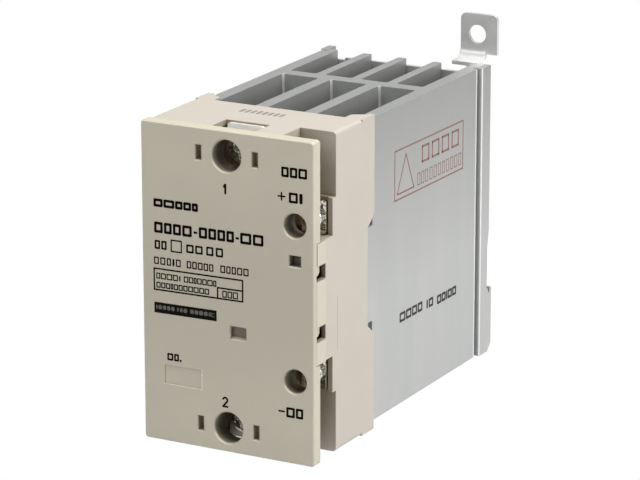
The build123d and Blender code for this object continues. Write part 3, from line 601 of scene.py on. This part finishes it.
def cover_print():
    """Heavy black print: terminal numbers and signs, and boxes in place of names and letters."""
    pen = Print("cover_print", on_cover, BLACK_INK)
    numeral_one(pen, -0.35, 80.62, 2.65, 0.7)
    numeral_two(pen, -1.0, 13.98, 2.85, 0.6)
    # current rating, above the upper input terminal
    pen.words(18.6, 87.5, 3.9, [2.5, 2.5, 2.9], 0.35, 0.75)
    # signs and labels of the input terminals
    plus(pen, 18.65, 81.95, 1.1, 0.5)
    pen.words(21.1, 79.85, 4.0, [3.0, 1.1], 0.5, 0.75)
    minus(pen, 18.4, 15.45, 0.9, 0.55)
    pen.words(20.0, 13.4, 4.0, [2.9, 2.5], 0.35, 0.75)
    # name, then type number in three groups
    pen.words(-25.2, 73.4, 3.2, [3.2, 3.8, 2.6, 2.7, 2.1], 0.25, 0.85)
    pen.words(-25.1, 65.2, 4.3, [3.0, 2.7, 2.8, 3.3], 0.43, 0.85)
    pen.bar(-11.4, -10.1, 66.9, 67.6)
    pen.words(-9.6, 65.3, 4.3, [2.9, 2.7, 2.7, 2.6], 0.4, 0.85)
    pen.bar(3.0, 4.2, 66.9, 67.6)
    pen.words(4.6, 65.3, 4.3, [3.8, 3.6], 0.5, 0.85)
    pen.done("cover")


def cover_small_print():
    """Fine black print: rows of boxes, a ruled table, a dark block and a heading."""
    pen = Print("cover_small_print", on_cover, BLACK_INK)
    # row of marks
    pen.words(-25.0, 60.2, 3.5, [1.9, 1.9], 0.4, 0.6)
    pen.frame(-19.2, -15.7, 60.4, 63.9, 0.45)
    pen.words(-14.0, 60.3, 3.3, [2.6, 2.6], 0.5, 0.6)
    pen.words(-7.1, 60.3, 3.5, [2.5, 2.5], 0.8, 0.6)
    # three words
    pen.words(-25.3, 55.5, 2.9, [1.7, 1.8, 1.5, 0.7, 1.7], 0.48, 0.42)
    pen.words(-13.9, 55.5, 2.9, [1.6, 1.6, 1.7, 1.6, 1.5], 0.31, 0.42)
    pen.words(-2.3, 55.6, 2.9, [1.7, 1.5, 1.5, 1.8, 1.8], 0.35, 0.42)
    # table with a cell cut off at the lower right
    pen.frame(-25.3, 5.3, 47.8, 54.4, 0.5)
    pen.stroke([(5.3, 51.1), (-3.3, 51.1), (-3.3, 47.8)], 0.5)
    pen.words(-24.6, 51.0, 2.4, [1.4, 1.8, 2.0, 1.8], 0.2, 0.38)
    pen.words(-16.6, 51.0, 2.4, [0.5], 0.3)
    pen.words(-15.0, 51.0, 2.4, [1.6, 1.6, 1.0, 1.6, 1.6, 1.9, 1.1], 0.15, 0.38)
    pen.words(-24.6, 48.2, 2.3, [1.5, 1.5, 1.5, 0.9, 1.5, 1.5, 1.5, 1.7, 1.8, 1.7, 1.6], 0.17, 0.38)
    pen.words(-1.7, 48.0, 2.7, [1.6, 1.6, 1.8], 0.2, 0.38)
    # dark block, and the heading of the note box
    pen.bar(-25.4, -3.7, 40.5, 43.85, 0.15)
    pen.words(-21.1, 25.6, 2.9, [2.1, 1.7], 0.3, 0.6)
    pen.bar(-16.8, -16.1, 25.9, 26.6)
    pen.done("cover")


def cover_pale_print():
    """Pale bars on the dark block, in place of its words."""
    pen = Print("cover_pale_print", on_cover, PALE_INK, 0.035)
    pen.words(-24.8, 41.4, 1.9, [0.5, 1.2, 1.2, 1.2, 1.2], 0.3)
    pen.words(-17.4, 41.4, 1.9, [0.5], 0.3)
    pen.words(-16.4, 41.4, 1.9, [0.9, 1.3], 0.3)
    pen.words(-12.9, 41.4, 1.9, [1.3, 1.3, 1.4, 1.4, 1.2], 0.25)
    for v in (42.7, 41.8):
        minus(pen, -5.2, v, 0.7, 0.25)
    pen.done("cover")


def side_prints():
    """On the heat sink's right side: a framed label without words, and a row of boxes below."""
    pen = Print("side_outline_print", on_right, RED_INK)
    pen.frame(54.1, 101.2, 68.7, 84.3, 0.5)
    pen.stroke([(55.8, 70.4), (67.0, 70.4), (61.6, 82.2)], 0.5, closed=True)
    for box in range(4):
        near = 72.7 + 6.9 * box
        pen.frame(near, near + 4.4, 77.2, 82.0, 0.7)
    for first, boxes, pitch in ((69.6, 3, 2.6), (78.0, 8, 2.9)):
        for box in range(boxes):
            near = first + pitch * box
            pen.frame(near, near + 1.6, 70.3, 74.0, 0.3)
    pen.done("base")

    pen = Print("side_line_print", on_right, GREY_INK)
    pen.words(57.9, 28.3, 3.9, [3.9, 3.6, 3.4, 3.2], 0.5, 0.8)
    pen.words(76.4, 28.0, 3.7, [1.0, 3.0], 0.6, 0.8)
    pen.words(83.8, 27.5, 3.7, [3.0, 2.8, 0.9, 2.9, 2.8], 0.3, 0.8)
    pen.done("base")


def top_print():
    """Eight faint bars on top of the housing."""
    pen = Print("top_print", on_top, TOP_INK, 0.015)
    pen.words(-9.0, 22.2, 5.2, [1.2] * 8, 0.75)
    pen.done("base")


def fine_lines():
    """Lines too thin to model: painted shadow in a gap, a painted highlight on a lit edge, and a
    moulding seam.
    """
    # Painted shadow in the gap between the cover and the side block.
    pen = Print("cover_gap_shadow", on_block, GAP_SHADOW, 0.01)
    pen.stroke([(2.35, 62.3), (2.35, 68.3)], 0.3)
    pen.done("base")

    # Painted highlight on the note box's lower and right edges.
    pen = Print("note_box_lit_edge", on_cover_level, LIT_TONE, 0.012)
    pen.stroke([(-22.1, 18.4), (-9.0, 18.4), (-9.0, 24.5)], 0.3)
    pen.done("cover")

    pen = Print("housing_seam", on_wing, SEAM_TONE, 0.01)
    pen.stroke([(15.9, 32.2), (15.9, 49.0)], 0.16)
    pen.done("base")


cover_print()
cover_small_print()
cover_pale_print()
side_prints()
top_print()
fine_lines()


# ---- stage, light and camera ---------------------------------------------------------------
def white_floor():
    """Pale seamless floor: glows white to the camera and bounces light like paper.

    It is clear from below, so that the underside can be seen.
    """
    size = FLOOR_HALF
    data = bpy.data.meshes.new("floor")
    z = LOW.z - FLOOR_DROP
    corners = [(-size, -size, z), (size, -size, z), (size, size, z), (-size, size, z)]
    data.from_pydata(corners, [], [(0, 1, 2, 3)])
    obj = bpy.data.objects.new("floor", data)
    bpy.context.scene.collection.objects.link(obj)
    g = Graph("floor_paper")
    paper = g.node("ShaderNodeBsdfDiffuse")
    fibre = g.noise(0.02, 2.0)
    g.link(g.mix(fibre, rgba(0.66, 0.66, 0.66), rgba(0.70, 0.70, 0.70)), paper.inputs["Color"])
    glow = g.node("ShaderNodeEmission")
    glow.inputs["Color"].default_value = rgba(1.0, 1.0, 1.0)
    glow.inputs["Strength"].default_value = 1.0
    path = g.node("ShaderNodeLightPath")
    both = g.node("ShaderNodeMixShader")
    g.link(path.outputs["Is Camera Ray"], both.inputs[0])
    g.link(paper.outputs[0], both.inputs[1])
    g.link(glow.outputs[0], both.inputs[2])
    under = g.node("ShaderNodeMixShader")
    g.link(g.node("ShaderNodeNewGeometry").outputs["Backfacing"], under.inputs[0])
    g.link(both.outputs[0], under.inputs[1])
    g.link(g.node("ShaderNodeBsdfTransparent").outputs[0], under.inputs[2])
    g.link(under.outputs[0], g.out.inputs["Surface"])
    data.materials.append(g.mat)


def studio_world():
    """White surround to the camera; a soft top-bright dome to everything else."""
    world = bpy.data.worlds.new("studio")
    bpy.context.scene.world = world
    world.use_nodes = True
    tree = world.node_tree
    tree.nodes.clear()
    out = tree.nodes.new("ShaderNodeOutputWorld")
    coords = tree.nodes.new("ShaderNodeTexCoord")
    split = tree.nodes.new("ShaderNodeSeparateXYZ")
    tree.links.new(coords.outputs["Generated"], split.inputs[0])
    ramp = tree.nodes.new("ShaderNodeMapRange")
    ramp.inputs["From Min"].default_value = DOME_FOOT
    ramp.inputs["From Max"].default_value = 1.0
    ramp.inputs["To Min"].default_value = DOME_LOW
    ramp.inputs["To Max"].default_value = DOME_HIGH
    tree.links.new(split.outputs["Z"], ramp.inputs["Value"])
    dome = tree.nodes.new("ShaderNodeBackground")
    tree.links.new(ramp.outputs[0], dome.inputs["Strength"])
    white = tree.nodes.new("ShaderNodeBackground")
    white.inputs["Strength"].default_value = 1.0
    white.inputs["Color"].default_value = rgba(1, 1, 1)
    path = tree.nodes.new("ShaderNodeLightPath")
    both = tree.nodes.new("ShaderNodeMixShader")
    tree.links.new(path.outputs["Is Camera Ray"], both.inputs[0])
    tree.links.new(dome.outputs[0], both.inputs[1])
    tree.links.new(white.outputs[0], both.inputs[2])
    tree.links.new(both.outputs[0], out.inputs["Surface"])


def softbox(name, where, width, height, watts):
    """Rectangular lamp that looks at the middle of the frame."""
    data = bpy.data.lights.new(name, "AREA")
    data.shape = "RECTANGLE"
    data.size, data.size_y = width, height
    data.energy = watts
    obj = bpy.data.objects.new(name, data)
    obj.location = where
    obj.rotation_euler = (-Vector(where)).to_track_quat("-Z", "Y").to_euler()
    bpy.context.scene.collection.objects.link(obj)


def camera():
    """Long lens, from the front right and above."""
    yaw, pitch, roll = (math.radians(a) for a in (CAMERA_YAW, CAMERA_PITCH, CAMERA_ROLL))
    level = Vector((-math.sin(yaw), math.cos(yaw), 0.0))
    ahead = level * math.cos(pitch) - Vector((0.0, 0.0, math.sin(pitch)))
    right = Vector((math.cos(yaw), math.sin(yaw), 0.0))
    up = right.cross(ahead)
    level_right = right * math.cos(roll) + up * math.sin(roll)
    level_up = up * math.cos(roll) - right * math.sin(roll)
    data = bpy.data.cameras.new("camera")
    data.sensor_width, data.lens = SENSOR_WIDTH, LENS
    data.clip_start, data.clip_end = 0.05, 20.0
    obj = bpy.data.objects.new("camera", data)
    turn = Matrix((level_right, level_up, -ahead)).transposed()
    obj.matrix_world = Matrix.Translation(place(*CAMERA_AT)) @ turn.to_4x4()
    bpy.context.scene.collection.objects.link(obj)
    bpy.context.scene.camera = obj


white_floor()
studio_world()
for lamp in SOFTBOXES:
    softbox(*lamp)
camera()

scene = bpy.context.scene
scene.view_settings.view_transform = "Standard"
scene.view_settings.look = "None"
